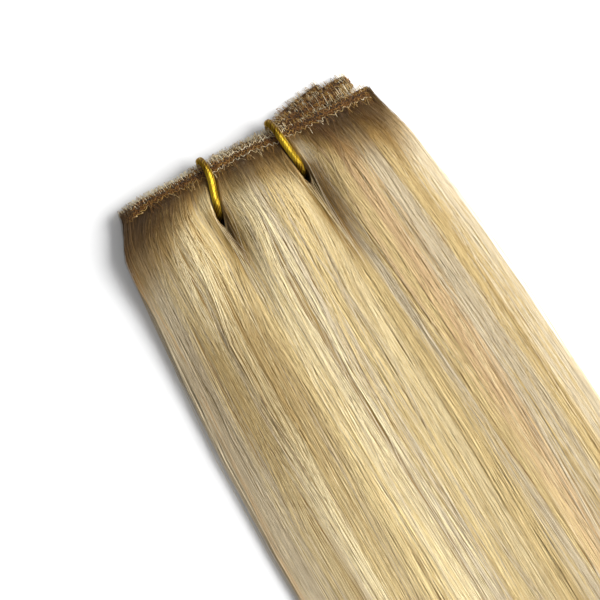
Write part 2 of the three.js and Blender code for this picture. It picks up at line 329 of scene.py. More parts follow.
def bed_height(x, y):
    """How much the hair swells up beside the ties' top runs."""
    swell = 0
    for tie in TIES:
        beside = np.abs(x - tie_x(tie, y)) - TIE_RADIUS
        swell = swell + smooth(beside, *BED_BESIDE) * bell(np.maximum(beside, 0), BED_WIDTH)
    return BED_HEIGHT * swell * between(-y, *BED_ALONG)


def drawn_by(tie, draws, x, y):
    """How far a tie draws the hair at a place across the pack."""
    away = x - tie_x(tie, y)
    left, right = (own.share * bell(y - own.y, own.length) * bell(away, own.width)
                   for own in draws)
    return -away * np.where(away < 0, left, right)


def lay_hair(layer, share, depth, length, side, height):
    """Lays hairs in a layer: share across, depth up, and their own drift at each run."""
    edge = hair_edge(layer)
    run = STRAND_RUNS * length[:, None]
    run[:, 0] = STRAND_RUNS[0]
    tip = smooth(run / HAIR_LENGTH, TIP_START, 1)
    edges = lock_edges(layer)
    lock = lock_of(edges, share)
    middle = ((edges[lock] + edges[lock + 1]) / 2)[:, None]
    width = hair_width(layer, run)
    phase = (lock * SWAY_SHIFT + layer.level)[:, None]
    sway = LOCK_SWAY * smooth(run, SWAY_START, HAIR_LENGTH / 2) * np.sin(run / SWAY_WAVE + phase)
    place = share[:, None] + side / width
    place = middle + (place - middle) * mix(1, TIP_WIDTH, tip) + sway / width
    y = edge(mix(layer.left, layer.right, np.clip(place, 0, 1))) - run
    x = hair_x(layer, place, y, run)
    parting = parting_top if layer is TOP else parting_low
    for tie, draws in zip(TIES, DRAWS):
        x = x + drawn_by(tie, draws, x, y)
        beside = np.where(share < tie_share(layer, tie), -1, 1)[:, None]
        limit = mix(-PARTING_CROSS, PARTING_HALF_WIDTH, parting(y))
        middle_x = tie_x(tie, y)
        away = beside * (x - middle_x)
        kept = (away + limit + np.sqrt((away - limit) ** 2 + PARTING_SOFT)) / 2
        x = middle_x + beside * kept
    roof = surface(layer.level, x, y) - LAYER_GAP / 2
    floor = surface(layer.level - 1, x, y) + LAYER_GAP / 2
    fill = mix(ROOT_THICKNESS, 1, smooth(run, 0, ROOT_SWELL)) * mix(1, TIP_THICKNESS, tip)
    z = mix(floor, roof, 0.5 + (depth[:, None] - 0.5) * fill) + height
    if layer is TOP:
        z = z + bed_height(x, y)
    z = np.maximum(z, surface(0, x, y) + UNDER_CLEAR)
    return np.stack([x, y, z], axis=2)


# The wisps of a layer: how deep they and their hairs lie, how much less deep ones and those at the
# sides wander, the runs over which hairs gather into a wisp and lift, and how short one may be.
DEEPEST_WISP = 0.25
DEPTH_SKEW = (1.7, 1.0)
DEPTH_SPREAD = 0.08
DEEP_WANDER = 0.25
DEEP = (0.45, 0.75)
EDGE_WANDER = 0.5
EDGE_SHARE = 0.07
GATHER_RUNS = (6, 60)
LIFT_RUNS = (0, 12)
SHORTEST_HAIR = 0.96


def strands(layer, low, high, count, rng, hair):
    """The hairs of a layer between two shares of its width, gathered in wisps."""
    wisps = max(1, count // hair.strands_in_wisp)
    wisp = np.arange(count) % wisps
    wisp_share = mix(low, high, (rng.permutation(wisps) + rng.random(wisps)) / wisps)
    wisp_depth = mix(DEEPEST_WISP, 1, rng.beta(*DEPTH_SKEW, wisps))
    spread = rng.normal(0, hair.wisp_width / MM / 2, count)
    share = wisp_share[wisp] + spread / (layer.right - layer.left)
    past = FOLD_SHARE if layer in FOLDED_RIGHT else -FOLD_SHARE
    share = np.clip(share, low - FOLD_SHARE * (low == 0), high + past * (high == 1))
    depth = np.clip(wisp_depth[wisp] + rng.normal(0, DEPTH_SPREAD, count), 0, 1)
    side = wander(rng, wisps, WISP_WAVES)[wisp]
    side *= mix(DEEP_WANDER, 1, smooth(depth, *DEEP))[:, None]
    side += wander(rng, count, HAIR_WAVES)
    side -= spread[:, None] * (hair.wisp_gather * smooth(STRAND_RUNS, *GATHER_RUNS))
    side *= smooth(STRAND_RUNS, *HELD_RUNS)
    side *= mix(EDGE_WANDER, 1, smooth(np.minimum(share, 1 - share), 0, EDGE_SHARE))[:, None]
    height = wander(rng, wisps, LIFT_WAVES)[wisp] * smooth(STRAND_RUNS, *LIFT_RUNS)
    level = (1 + np.sin(np.arange(wisps) * LENGTH_SHIFT)) / 2
    length = mix(SHORTEST_LOCK, 1, level[wisp]) * rng.uniform(SHORTEST_HAIR, 1.0, count)
    return lay_hair(layer, share, depth, length, side, height), wisp_share[wisp], wisp


# Hairs that round off the pack's sides: the shares they take, how high and deep they start, over
# which runs they come down at each side, how they bulge and stand off, and how they turn on edge.
SIDE_SHARES = (-FOLD_SHARE, 0.004)
SIDE_REACH = 0.045
SIDE_LOWEST = 0.03
SIDE_DEPTH = 0.9
SIDE_DROPS = ((-2, 4), (2, 24))
SIDE_FLOOR = 0.25
SIDE_BULGE = 1.4
BULGE_RUNS = (0, 20)
STAND_OFF = 2.2
STAND_RARE = 7
STAND_RUN = 170.0
SIDE_TILT = radians(75)
NEAR_RUN = 9.0

# How they start beside the left folds of the band and beside its right end.
FOLD_SWELL = 1.4
FOLD_UNEVEN = 0.8
FOLD_BACK = 3.4
FOLD_STEP = 1.32
END_SHARES = (0.978, 0.992)
END_SWELL = 0.7
END_BACK = 3.0
END_RISE = 0.3


def side_hairs(end, count, rng):
    """Hairs that round off a side of the pack (end 0 is its left), down to the table."""
    share = np.abs(end - rng.uniform(SIDE_SHARES[end], SIDE_REACH, count))
    up = rng.uniform(SIDE_LOWEST, 1.0, (count, 1))
    side = wander(rng, count, SIDE_WAVES) * smooth(STRAND_RUNS, *HELD_RUNS)
    length = rng.uniform(SHORTEST_LOCK, 1, count)
    paths = lay_hair(TOP, share, np.full(count, SIDE_DEPTH), length, side, 0)
    drop = smooth(STRAND_RUNS, *SIDE_DROPS[end])
    arch = np.sin(pi * np.clip(STRAND_RUNS / STAND_RUN, 0, 1)) ** 2
    stand = STAND_OFF * (rng.random((count, 1)) ** STAND_RARE) * arch
    bulge = SIDE_BULGE * np.sqrt(up * (1 - up)) * smooth(STRAND_RUNS, *BULGE_RUNS) + stand
    near = np.exp(-np.maximum(STRAND_RUNS, 0) / NEAR_RUN)
    if end == 0:
        bulge = bulge + (FOLD_SWELL + FOLD_UNEVEN * rng.random((count, 1))) * near
        paths[:, :, 1] += (rng.uniform(0, FOLD_BACK, (count, 1)) + FOLD_STEP * (1 - up)) * near
    else:
        last = smooth(share, *END_SHARES)[:, None]
        bulge = bulge + END_SWELL * last * near
        paths[:, :, 1] += rng.uniform(0, END_BACK, (count, 1)) * last * near
        paths[:, :, 2] += END_RISE * last * near
    paths[:, :, 0] += (2 * end - 1) * bulge
    paths[:, :, 2] = mix(paths[:, :, 2], mix(SIDE_FLOOR, paths[:, :, 2], up), drop)
    tilt = SIDE_TILT * (1 - up) * drop
    across = np.stack([np.cos(tilt), np.zeros_like(tilt), (1 - 2 * end) * np.sin(tilt)], axis=2)
    return paths, np.clip(share, 0, 1), across


# Short hairs close to the band: the shares of its width and of a hair's length, and how they lie.
BABY_SHARES = (0.06, 0.94)
BABY_LENGTHS = (0.02, 0.12)
BABY_LEAN = 0.2
BABY_ROOM = 3.0
BABY_MARGIN = 0.05
BABY_LIFT = (0.15, 0.1)
BABY_LIFT_RUNS = (0, 30)
BABY_DEPTH = 0.97


def baby_hairs(count, rng):
    """Short hairs that lean across the others close to the band."""
    share = rng.uniform(*BABY_SHARES, count)
    length = rng.uniform(*BABY_LENGTHS, count)
    lean = np.clip(rng.normal(0, BABY_LEAN, count),
                   BABY_MARGIN - BABY_ROOM * share, BABY_ROOM * (1 - share) - BABY_MARGIN)
    side = (lean * length)[:, None] * np.maximum(STRAND_RUNS, 0)
    height = np.abs(rng.normal(*BABY_LIFT, (count, 1))) * smooth(STRAND_RUNS, *BABY_LIFT_RUNS)
    return lay_hair(TOP, share, np.full(count, BABY_DEPTH), length, side, height), share, length


# Loose hairs that cross the parting behind a tie: the side they come from, how many and how far
# over. Then where they start, cross, rise and go down among the others.
Strays = namedtuple("Strays", "tie beside count over")
STRAYS = (
    Strays(0, -1, 14, 5.0),
    Strays(0, 1, 5, 3.0),
    Strays(1, 1, 7, 3.5),
    Strays(1, -1, 8, 4.5),
)
STRAY_SHARES = (0.002, 0.03)
STRAY_DEPTH = 0.98
STRAY_LEAST = 0.2
CROSS_START, CROSS_ENDS = 15, (34, 70)
RISE_HEIGHT, RISE_RUNS = 0.3, (10, 24)
SINK_DEPTH, SINK_START, SINK_ENDS = 1.2, 36, (60, 110)


def stray_hairs(rng):
    """Hairs that lie across the partings."""
    paths, shares = [], []
    for stray in STRAYS:
        at = tie_share(TOP, TIES[stray.tie])
        each = (stray.count, 1)
        share = at + stray.beside * rng.uniform(*STRAY_SHARES, stray.count)
        over = -stray.beside * rng.uniform(STRAY_LEAST, stray.over, each)
        side = over * smooth(STRAND_RUNS, CROSS_START, rng.uniform(*CROSS_ENDS, each))
        down = smooth(STRAND_RUNS, SINK_START, rng.uniform(*SINK_ENDS, each))
        height = RISE_HEIGHT * smooth(STRAND_RUNS, *RISE_RUNS) - SINK_DEPTH * down
        length = rng.uniform(SHORTEST_LOCK, 1, stray.count)
        depth = np.full(stray.count, STRAY_DEPTH)
        paths.append(lay_hair(TOP, share, depth, length, side, height))
        shares.append(share)
    return np.concatenate(paths), np.concatenate(shares)


# Streaks of colour: place and width as shares of the pack, family, and how light in it; that
# lightness is partly the hair's own streaks and partly painted light and shade across the pile, as
# the darker streak beside the left tie's parting. Then how often a wisp takes any other streak, and
# how much wisps and hairs differ.
Streak = namedtuple("Streak", "share width family light")
FAMILIES = ("ash", "gold", "cream", "peach")
STREAKS = (
    Streak(0.02, 0.05, "ash", 0.78),
    Streak(0.10, 0.05, "cream", 0.67),
    Streak(0.17, 0.04, "cream", 0.96),
    Streak(0.23, 0.04, "gold", 0.80),
    Streak(0.28, 0.03, "cream", 0.63),
    Streak(0.33, 0.04, "gold", 0.94),
    Streak(0.38, 0.05, "cream", 0.96),
    Streak(0.44, 0.03, "ash", 0.92),
    Streak(0.50, 0.05, "gold", 0.82),
    Streak(0.56, 0.04, "cream", 0.69),
    Streak(0.61, 0.03, "gold", 0.74),
    Streak(0.66, 0.03, "ash", 0.78),
    Streak(0.71, 0.03, "gold", 0.77),
    Streak(0.765, 0.04, "peach", 0.76),
    Streak(0.83, 0.03, "ash", 0.76),
    Streak(0.89, 0.05, "gold", 0.70),
    Streak(0.97, 0.05, "ash", 0.88),
)
STREAK_MIX = 0.008
WISP_LIGHT = 0.035
HAIR_LIGHT = 0.045
STRAY_FAMILIES = [FAMILIES.index(name) for name in ("ash", "cream")]
STRAY_LIGHTS = (0.5, 1.0)
STRAY_SHADED = 0.4
LIGHTS = (0.03, 0.95)

# The shade down the parting behind each tie: its reach to the left and right, and where it fades.
Shade = namedtuple("Shade", "left right fade gone")
SHADES = (
    Shade(3.6, 4.6, 23.0, 50.0),
    Shade(2.8, 5.2, 26.0, 60.0),
)
SHADE_START = (10, 17)

# The weaker shade where the left side of the pile turns from the light.
TURNED_SHADE = 0.36
TURNED_SHARE = 0.17
TURNED_WIDTH = 0.14
TURNED_ALONG = (34, 58, 88, 135)


def parting_shade(x, y):
    """1 in the shade of a parting, and less where the pile's left side turns from the light."""
    share = (x / half_width(y) + 1) / 2
    shade = TURNED_SHADE * bell(share - TURNED_SHARE, TURNED_WIDTH) * between(-y, *TURNED_ALONG)
    for tie, own in zip(TIES, SHADES):
        away = x - tie_x(tie, y)
        across = bell(away, np.where(away < 0, own.left, own.right))
        shade = shade + across * between(-y, *SHADE_START, own.fade, own.gone)
    return shade


def hair_tones(share, wisp, rng):
    """Gives each hair its family of colours and how light it is in it."""
    wisps = int(wisp.max()) + 1
    own = np.array([share[wisp == k][0] for k in range(wisps)])
    pull = np.array([bell(own - s.share, s.width) for s in STREAKS]).T + STREAK_MIX
    pull = np.cumsum(pull / pull.sum(axis=1, keepdims=True), axis=1)
    chosen = (rng.random((wisps, 1)) > pull).sum(axis=1)
    family = np.array([FAMILIES.index(s.family) for s in STREAKS])[chosen][wisp]
    light = np.array([s.light for s in STREAKS])[chosen][wisp]
    light = light + rng.normal(0, WISP_LIGHT, wisps)[wisp] + rng.normal(0, HAIR_LIGHT, len(wisp))
    return family, light


# A way that no path runs, from which the carried sides of tubes start.
FIRST_SIDE = (0.21, 0.34, 0.92)


def across_of(tangent, reference):
    """Unit vectors square to the tangents: to a fixed reference, or carried along each path."""
    if reference is not None:
        reference = np.broadcast_to(reference, tangent.shape)
        return unit(reference - np.sum(reference * tangent, axis=2, keepdims=True) * tangent)
    side = np.empty_like(tangent)
    now = np.cross(tangent[:, 0], FIRST_SIDE)
    for i in range(tangent.shape[1]):
        t = tangent[:, i]
        now = unit(now - np.sum(now * t, axis=1, keepdims=True) * t)
        side[:, i] = now
    return side


# A tube's width on its map, and how far the corners of its caps lie apart there.
TONE_WIDTH = 0.004
CAP_RIPPLE = 0.006


def tube_group(paths, radius, tones, **more):
    """Tubes of one thickness."""
    return {"paths": paths, "radii": np.full(paths.shape[:2], radius), "tones": tones, **more}


def tube_mesh(name, groups):
    """Joins many tubes into one mesh. Its map holds a tube's tone across and its length along."""
    points, corners, sizes, maps, rounds = [], [], [], [], []
    first = 0
    for group in groups:
        paths, radii, tones = group["paths"], group["radii"], group["tones"]
        sides, closed = group.get("sides", 3), group.get("closed", False)
        flat = group.get("flat", 1.0)
        count, steps, _ = paths.shape
        if closed:
            tangent = np.roll(paths, -1, axis=1) - np.roll(paths, 1, axis=1)
        else:
            tangent = np.gradient(paths, axis=1)
        tangent = unit(tangent)
        side = across_of(tangent, group.get("reference"))
        up = np.cross(tangent, side)
        roll = group.get("roll", np.zeros(count))[:, None, None]
        cos, sin = np.cos(roll), np.sin(roll)
        side, up = side * cos + up * sin, up * cos - side * sin
        turn = (np.arange(sides) * 2 * pi / sides - pi / 6)[None, None, :, None]
        ring = side[:, :, None] * np.cos(turn) + up[:, :, None] * np.sin(turn) * flat
        points.append((paths[:, :, None] + radii[:, :, None, None] * ring).reshape(-1, 3))
        index = first + np.arange(count * steps * sides).reshape(count, steps, sides)
        first += count * steps * sides
        along = group.get("along", np.linspace(0, 1, steps)[None])
        here = np.stack(np.broadcast_arrays(
            tones.reshape(count, -1, 1) + TONE_WIDTH * np.arange(sides + 1)[None, None] / sides,
            along[:, :, None],
        ), axis=3)
        (start, ahead), (here_start, here_next) = (
            (rows, np.roll(rows, -1, axis=1)) if closed else (rows[:, :-1], rows[:, 1:])
            for rows in (index, here))
        quad = np.stack([start, np.roll(start, -1, 2), np.roll(ahead, -1, 2), ahead], axis=3)
        place = np.stack([here_start[:, :, :-1], here_start[:, :, 1:],
                          here_next[:, :, 1:], here_next[:, :, :-1]], axis=3)
        corners.append(quad.reshape(-1))
        maps.append(place.reshape(-1, 2))
        sizes.append(np.full(quad.size // 4, 4))
        rounds.append(np.full(quad.size // 4, flat == 1.0))
        if not closed:
            ripple = np.stack([np.zeros(sides), CAP_RIPPLE * (np.arange(sides) % 2)], axis=1)
            corners += [index[:, 0, ::-1].reshape(-1), index[:, -1].reshape(-1)]
            maps += [(here[:, 0, :sides] + ripple).reshape(-1, 2),
                     (here[:, -1, :sides] - ripple).reshape(-1, 2)]
            sizes.append(np.full(2 * count, sides))
            rounds.append(np.full(2 * count, False))
    points, corners, sizes = (np.concatenate(rows) for rows in (points, corners, sizes))
    points[:, 2] = np.maximum(points[:, 2], TABLE_CLEAR)
    mesh = bpy.data.meshes.new(name)
    mesh.vertices.add(len(points))
    mesh.vertices.foreach_set("co", in_frame(points).ravel())
    mesh.loops.add(len(corners))
    mesh.loops.foreach_set("vertex_index", corners.astype(np.int32))
    mesh.polygons.add(len(sizes))
    mesh.polygons.foreach_set("loop_start", (np.cumsum(sizes) - sizes).astype(np.int32))
    mesh.polygons.foreach_set("use_smooth", np.concatenate(rounds))
    mesh.update(calc_edges=True)
    layer = mesh.uv_layers.new(name=MAP_NAME)
    layer.data.foreach_set("uv", np.clip(np.concatenate(maps), 0, 1).astype(np.float32).ravel())
    return mesh


def mesh_from(bm, name):
    """A smooth mesh from a bmesh, its faces turned outward."""
    bmesh.ops.recalc_face_normals(bm, faces=bm.faces)
    mesh = bpy.data.meshes.new(name)
    bm.to_mesh(mesh)
    bm.free()
    mesh.shade_smooth()
    return mesh


class Term:
    """A node's output that takes part in Python expressions."""

    def __init__(self, finish, socket):
        self.finish = finish
        self.socket = socket

    def math(self, operation, first, second):
        return self.finish.node("ShaderNodeMath", {"operation": operation}, {0: first, 1: second})

    def __add__(self, other):
        return self.math("ADD", self, other)

    def __radd__(self, other):
        return self.math("ADD", other, self)

    def __sub__(self, other):
        return self.math("SUBTRACT", self, other)

    def __rsub__(self, other):
        return self.math("SUBTRACT", other, self)

    def __mul__(self, other):
        return self.math("MULTIPLY", self, other)

    def __rmul__(self, other):
        return self.math("MULTIPLY", other, self)


class Finish:
    """A material whose nodes are added by expressions."""

    def __init__(self, name):
        self.material = bpy.data.materials.new(name)
        self.material.use_nodes = True
        self.nodes = self.material.node_tree.nodes
        self.links = self.material.node_tree.links
        self.nodes.clear()

    def node(self, kind, settings, sockets, output=0):
        """Adds a node with its settings and sockets, and returns one of its outputs."""
        node = self.nodes.new(kind)
        for key, value in settings.items():
            if key == "stops":
                ramp = node.color_ramp.elements
                while len(ramp) < len(value):
                    ramp.new(1.0)
                for element, (place, colour) in zip(ramp, value):
                    element.position = place
                    element.color = (*colour, 1.0)
            else:
                setattr(node, key, value)
        for key, value in sockets.items():
            if isinstance(value, Term):
                self.links.new(value.socket, node.inputs[key])
            else:
                node.inputs[key].default_value = value
        return Term(self, node.outputs[output])

    def map_part(self, axis):
        """The tone (X) or the place along (Y) on a tube's map."""
        at = self.node("ShaderNodeUVMap", {"uv_map": MAP_NAME}, {})
        return self.node("ShaderNodeSeparateXYZ", {}, {"Vector": at}, axis)

    def ramp(self, place, *stops):
        """A colour between stops along a value."""
        return self.node("ShaderNodeValToRGB", {"stops": stops}, {"Fac": place})

    def streaks(self, scale, detail, strength):
        """Noise drawn out over an object, and a bump that follows it."""
        at = self.node("ShaderNodeTexCoord", {}, {}, "Object")
        drawn = self.node("ShaderNodeMapping", {}, {"Vector": at, "Scale": scale})
        noise = self.node("ShaderNodeTexNoise", {},
                          {"Vector": drawn, "Scale": 1.0, "Detail": detail})
        bump = self.node("ShaderNodeBump", {},
                         {"Height": noise, "Strength": strength, "Distance": BUMP_DEPTH})
        return noise, bump

    def close(self, sockets):
        """Ends the material with its shader."""
        shader = self.node("ShaderNodeBsdfPrincipled", {}, sockets)
        output = self.nodes.new("ShaderNodeOutputMaterial")
        self.links.new(shader.socket, output.inputs["Surface"])
        return self.material


def hair_finish(hair):
    """Blond hair in four families of colour, browner toward the band, partly as painted shade."""
    finish = Finish("hair")
    tone, along = finish.map_part("X"), finish.map_part("Y")
    stops = []
    for number, name in enumerate(FAMILIES):
        dark, light = getattr(hair, name + "_dark"), getattr(hair, name + "_light")
        stops += [(number / len(FAMILIES) + place, colour)
                  for place, colour in ((0.002, hair.shade), (0.1, dark), (0.248, light))]
    shade = finish.ramp(tone, *stops)
    # The roots' colour: partly their own darker brown, partly painted shade near the band.
    root = finish.ramp(along, (0.0, hair.root_dark_and_shade), (0.1, hair.root_brown_and_shade),
                       (0.2, hair.root_tan_and_shade), (0.32, (1.0, 1.0, 1.0)))
    colour = finish.node("ShaderNodeMix", {"data_type": "RGBA", "blend_type": "MULTIPLY"},
                         {0: 1.0, 6: shade, 7: root}, 2)
    return finish.close({"Base Color": colour, "Roughness": 0.46 - 0.12 * along,
                         "Specular IOR Level": 0.3})


def add_object(name, data):
    """Adds an object to the scene."""
    made = bpy.data.objects.new(name, data)
    bpy.context.scene.collection.objects.link(made)
    return made


def add_piece(mesh, material, slot, *nodes):
    """Adds a piece to the scene, in the place of the solids named."""
    piece = add_object(mesh.name, mesh)
    mesh.materials.append(material)
    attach(piece, "root")
    if nodes:
        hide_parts(*nodes)


# The brown of the roots across the pack, partly the hair's own darker roots and partly painted
# shade
# near the band: where it starts on the hairs' map, which is darkest at 0 and clear at ROOT_PART,
# and how far along the hair it reaches in millimetres.
Root = namedtuple("Root", "share start reach")
ROOT_BROWN_AND_SHADE = (
    Root(0.00, 0.00, 32), Root(0.08, 0.00, 31), Root(0.17, 0.01, 20), Root(0.24, 0.04, 12),
    Root(0.295, 0.08, 7), Root(0.325, 0.04, 14), Root(0.40, 0.03, 16), Root(0.50, 0.04, 17),
    Root(0.575, 0.03, 20), Root(0.612, 0.05, 15), Root(0.635, 0.13, 8), Root(0.67, 0.15, 7),
    Root(0.71, 0.05, 15), Root(0.78, 0.035, 25), Root(0.87, 0.02, 25), Root(0.93, 0.01, 31),
    Root(1.00, 0.03, 21),
)
ROOT_PART = 0.3
root_start = curve_through([(root.share, root.start) for root in ROOT_BROWN_AND_SHADE])
root_reach = curve_through([(root.share, root.reach) for root in ROOT_BROWN_AND_SHADE])


def hair_along(share, length):
    """A hair's length on its map: the brown of its root, partly painted shade, first, then the
    rest.
    """
    run = np.clip(STRAND_RUNS, 0, None)[None] * length[:, None]
    reach = root_reach(share)[:, None]
    brown = mix(root_start(share)[:, None], ROOT_PART, run / reach)
    return np.where(run < reach, brown, mix(ROOT_PART, 1, (run - reach) / (HAIR_LENGTH - reach)))


# The thickness of strands, one by one, at their tips and at the band.
STRAND_SIZES = (0.6, 1.2)
TIP_SIZE = 0.35
TAPER_START = 0.5
ROOT_SIZE = 0.7
ROOT_SIZE_RUNS = (0, 8)

# How far to each side of a point the pile's slope is taken.
SLOPE_STEP = 0.7


def strand_radii(count, rng, hair):
    """Half the width of each strand along its run."""
    thick = rng.uniform(*STRAND_SIZES, (count, 1)) * hair.strand_width / MM / 2
    taper = mix(1, TIP_SIZE, smooth(STRAND_RUNS / HAIR_LENGTH, TAPER_START, 1))
    return thick * taper * mix(ROOT_SIZE, 1, smooth(STRAND_RUNS, *ROOT_SIZE_RUNS))


def pile_side(level, paths):
    """The way across the pile's surface at each point of some hairs."""
    x, y = paths[:, :, 0], paths[:, :, 1]
    rise = surface(level, x + SLOPE_STEP, y) - surface(level, x - SLOPE_STEP, y)
    return np.stack([np.full_like(rise, 2 * SLOPE_STEP), np.zeros_like(rise), rise], axis=2)


def strand_group(paths, share, tones, across, rng, hair, length=None, shaded=1.0):
    """Hairs as flat tubes that lie along the pile's surface, each turned a little its own way."""
    count = len(paths)
    family, light = tones
    shade = 1 - shaded * hair.parting_shade * parting_shade(paths[:, :, 0], paths[:, :, 1])
    light = np.clip(light[:, None] * shade, *LIGHTS)
    return {"paths": paths, "radii": strand_radii(count, rng, hair), "flat": hair.flatness,
            "tones": (family[:, None] + light) / len(FAMILIES), "reference": across,
            "along": hair_along(share, np.ones(count) if length is None else length),
            "roll": rng.normal(0, hair.roll, count)}


# The inside of a layer: its grid, the runs of its rows, where it ends at the sides and in
# the middle of a lock, how far it stays from the sides and partings, and how thick it is.
CORE_ACROSS, CORE_ALONG = 24, 22
CORE_RUNS = np.concatenate([np.linspace(1.5, 30, 10), np.geomspace(38, 330, CORE_ALONG - 9)])
CORE_ENDS = (270, 366)
CORE_END_SWELL = 1.3
CORE_UNEVEN = (-14, 4)
CORE_STRETCH_RUNS = (60, 240)
CORE_SIDE = 2.2
CORE_PARTING = (0.2, 2.5)
CORE_THICK = 0.27
CORE_TIP, CORE_TIP_RUNS = 0.3, (180, 350)
CORE_RIM, CORE_RIM_POWER = 0.85, 6


def core_end(layer, place, rng):
    """How far along the hair the inside of a layer reaches: farthest in the middle of a lock."""
    edges = lock_edges(layer)
    lock = lock_of(edges, place)
    inside = np.clip((place - edges[lock]) / (edges[lock + 1] - edges[lock]), 0, 1)
    return mix(*CORE_ENDS, np.sin(pi * inside) ** CORE_END_SWELL) + rng.uniform(*CORE_UNEVEN)


def layer_core(layer, rng):
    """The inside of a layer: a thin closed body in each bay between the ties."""
    bm = bmesh.new()
    edge = hair_edge(layer)
    edges = bay_edges(layer)
    for bay, (low, high) in enumerate(zip(edges, edges[1:])):
        grid = bmesh.ops.create_grid(bm, x_segments=CORE_ACROSS, y_segments=CORE_ALONG, size=1)
        verts = grid["verts"]
        faces = list({face for vert in verts for face in vert.link_faces})
        copy = bmesh.ops.extrude_face_region(bm, geom=faces)
        upper = [part for part in copy["geom"] if isinstance(part, bmesh.types.BMVert)]
        ends = [core_end(layer, mix(low, high, i / CORE_ACROSS), rng)
                for i in range(CORE_ACROSS + 1)]
        for vert, above in [(v, -1) for v in verts] + [(v, 1) for v in upper]:
            s, t = (vert.co.x + 1) / 2, (vert.co.y + 1) / 2
            run = CORE_RUNS[min(int(round((1 - t) * CORE_ALONG)), CORE_ALONG)]
            stretch = ends[int(round(s * CORE_ACROSS))] / CORE_RUNS[-1]
            run = run * mix(1, stretch, smooth(run, *CORE_STRETCH_RUNS))
            width = hair_width(layer, run)
            open_by = mix(*CORE_PARTING, parting_top(edge(0) - run))
            from_share = low + (open_by if bay else CORE_SIDE) / width
            to_share = high - (open_by if bay < 2 else CORE_SIDE) / width
            place = mix(from_share, to_share, s)
            y = edge(mix(layer.left, layer.right, place)) - run
            x = hair_x(layer, place, y, run)
            fill = mix(ROOT_THICKNESS, 1, smooth(run, 0, ROOT_SWELL))
            fill = fill * mix(1, CORE_TIP, smooth(run, *CORE_TIP_RUNS))
            rim = 1 - CORE_RIM * (2 * s - 1) ** CORE_RIM_POWER
            z = mix(surface(layer.level - 1, x, y), surface(layer.level, x, y),
                    0.5 + above * CORE_THICK * fill * rim)
            vert.co = in_frame((x, y, z))
    return mesh_from(bm, layer.name.replace("layer", "core"))


def core_finish(hair):
    """The inside of the hair: close dark and fair streaks along its run, kept darker than the hair
    so the gaps between strands show painted shade.
    """
    finish = Finish("hair_inside")
    streak, bump = finish.streaks((2600.0, 22.0, 500.0), 3.0, 0.6)
    # Painted shade: the inside's dark is a darkened gold, so gaps between strands look shaded.
    dark = [0.75 * part for part in hair.gold_dark]
    colour = finish.ramp(streak, (0.32, dark), (0.68, hair.cream_dark))
    return finish.close({"Base Color": colour, "Roughness": 0.4 + 0.2 * streak, "Normal": bump})


def whole_setting(name, description, default, least=0):
    """A whole number in the sidebar."""
    return bpy.props.IntProperty(name=name, description=description, default=default, min=least)


def value_setting(name, description, default, **more):
    """A number in the sidebar, with its unit or subtype."""
    return bpy.props.FloatProperty(name=name, description=description, default=default, **more)


def factor_setting(name, description, default, least=0, most=1):
    """A share in the sidebar."""
    return value_setting(name, description, default, subtype="FACTOR", min=least, max=most)


def colour_setting(name, description, default):
    """A colour in the sidebar."""
    return bpy.props.FloatVectorProperty(
        name=name, description=description, default=default, subtype="COLOR", min=0, max=1)


def place_setting(name, description, default):
    """A place in the sidebar."""
    return bpy.props.FloatVectorProperty(
        name=name, description=description, default=default, subtype="TRANSLATION", unit="LENGTH")


class HairSettings(bpy.types.PropertyGroup):
    """Sizes and colours of the strands."""

    seed: whole_setting("Seed", "Seed of the hair's lie", 7)
    top_strands: whole_setting("Top strands", "Hairs in the top layer", 5200, 300)
    lower_strands: whole_setting("Lower strands", "Hairs in each lower layer", 500, 100)
    strands_in_wisp: whole_setting("Strands in a wisp", "Hairs that run together", 8, 1)
    baby_hairs: whole_setting("Baby hairs", "Short hairs close to the band", 90)
    side_hairs: whole_setting("Side hairs", "Hairs that round off each side", 260)
    strand_width: value_setting("Strand width", "Width of a strand", 0.00017, unit="LENGTH")
    flatness: factor_setting("Flatness", "Thickness of a strand over its width", 0.22, 0.01, 0.9)
    roll: value_setting("Roll", "How much strands turn from the pile's surface", 0.17,
                        subtype="ANGLE")
    wisp_width: value_setting("Wisp width", "Width of a wisp at the band", 0.0009, unit="LENGTH")
    wisp_gather: factor_setting("Wisp gather", "Share of its width a wisp loses", 0.35)
    ash_dark: colour_setting("Ash, dark", "Darkest ash hair", srgb(136, 112, 76))
    ash_light: colour_setting("Ash, light", "Lightest ash hair", srgb(230, 215, 182))
    gold_dark: colour_setting("Gold, dark", "Darkest golden hair", srgb(152, 116, 58))
    gold_light: colour_setting("Gold, light", "Lightest golden hair", srgb(243, 221, 163))
    cream_dark: colour_setting("Cream, dark", "Darkest cream hair", srgb(170, 142, 86))
    cream_light: colour_setting("Cream, light", "Lightest cream hair", srgb(249, 233, 188))
    peach_dark: colour_setting("Peach, dark", "Darkest peach hair", srgb(150, 110, 66))
    peach_light: colour_setting("Peach, light", "Lightest peach hair", srgb(236, 208, 160))
    # The root colours are partly the hair's own darker roots and partly painted shade near the
    # band.
    root_dark_and_shade: colour_setting(
        "Root, dark", "What the hair's colour is multiplied by at the band", (0.10, 0.060, 0.027))
    root_brown_and_shade: colour_setting(
        "Root, brown", "The same, a third of the way along the roots", (0.23, 0.155, 0.078))
    root_tan_and_shade: colour_setting(
        "Root, tan", "The same, two thirds of the way along the roots", (0.55, 0.45, 0.31))
    shade: colour_setting("Shade", "Hair deep in the partings", srgb(38, 25, 7))
    parting_shade: factor_setting(
        "Parting shade", "How much darker the hair is along the partings", 0.9)


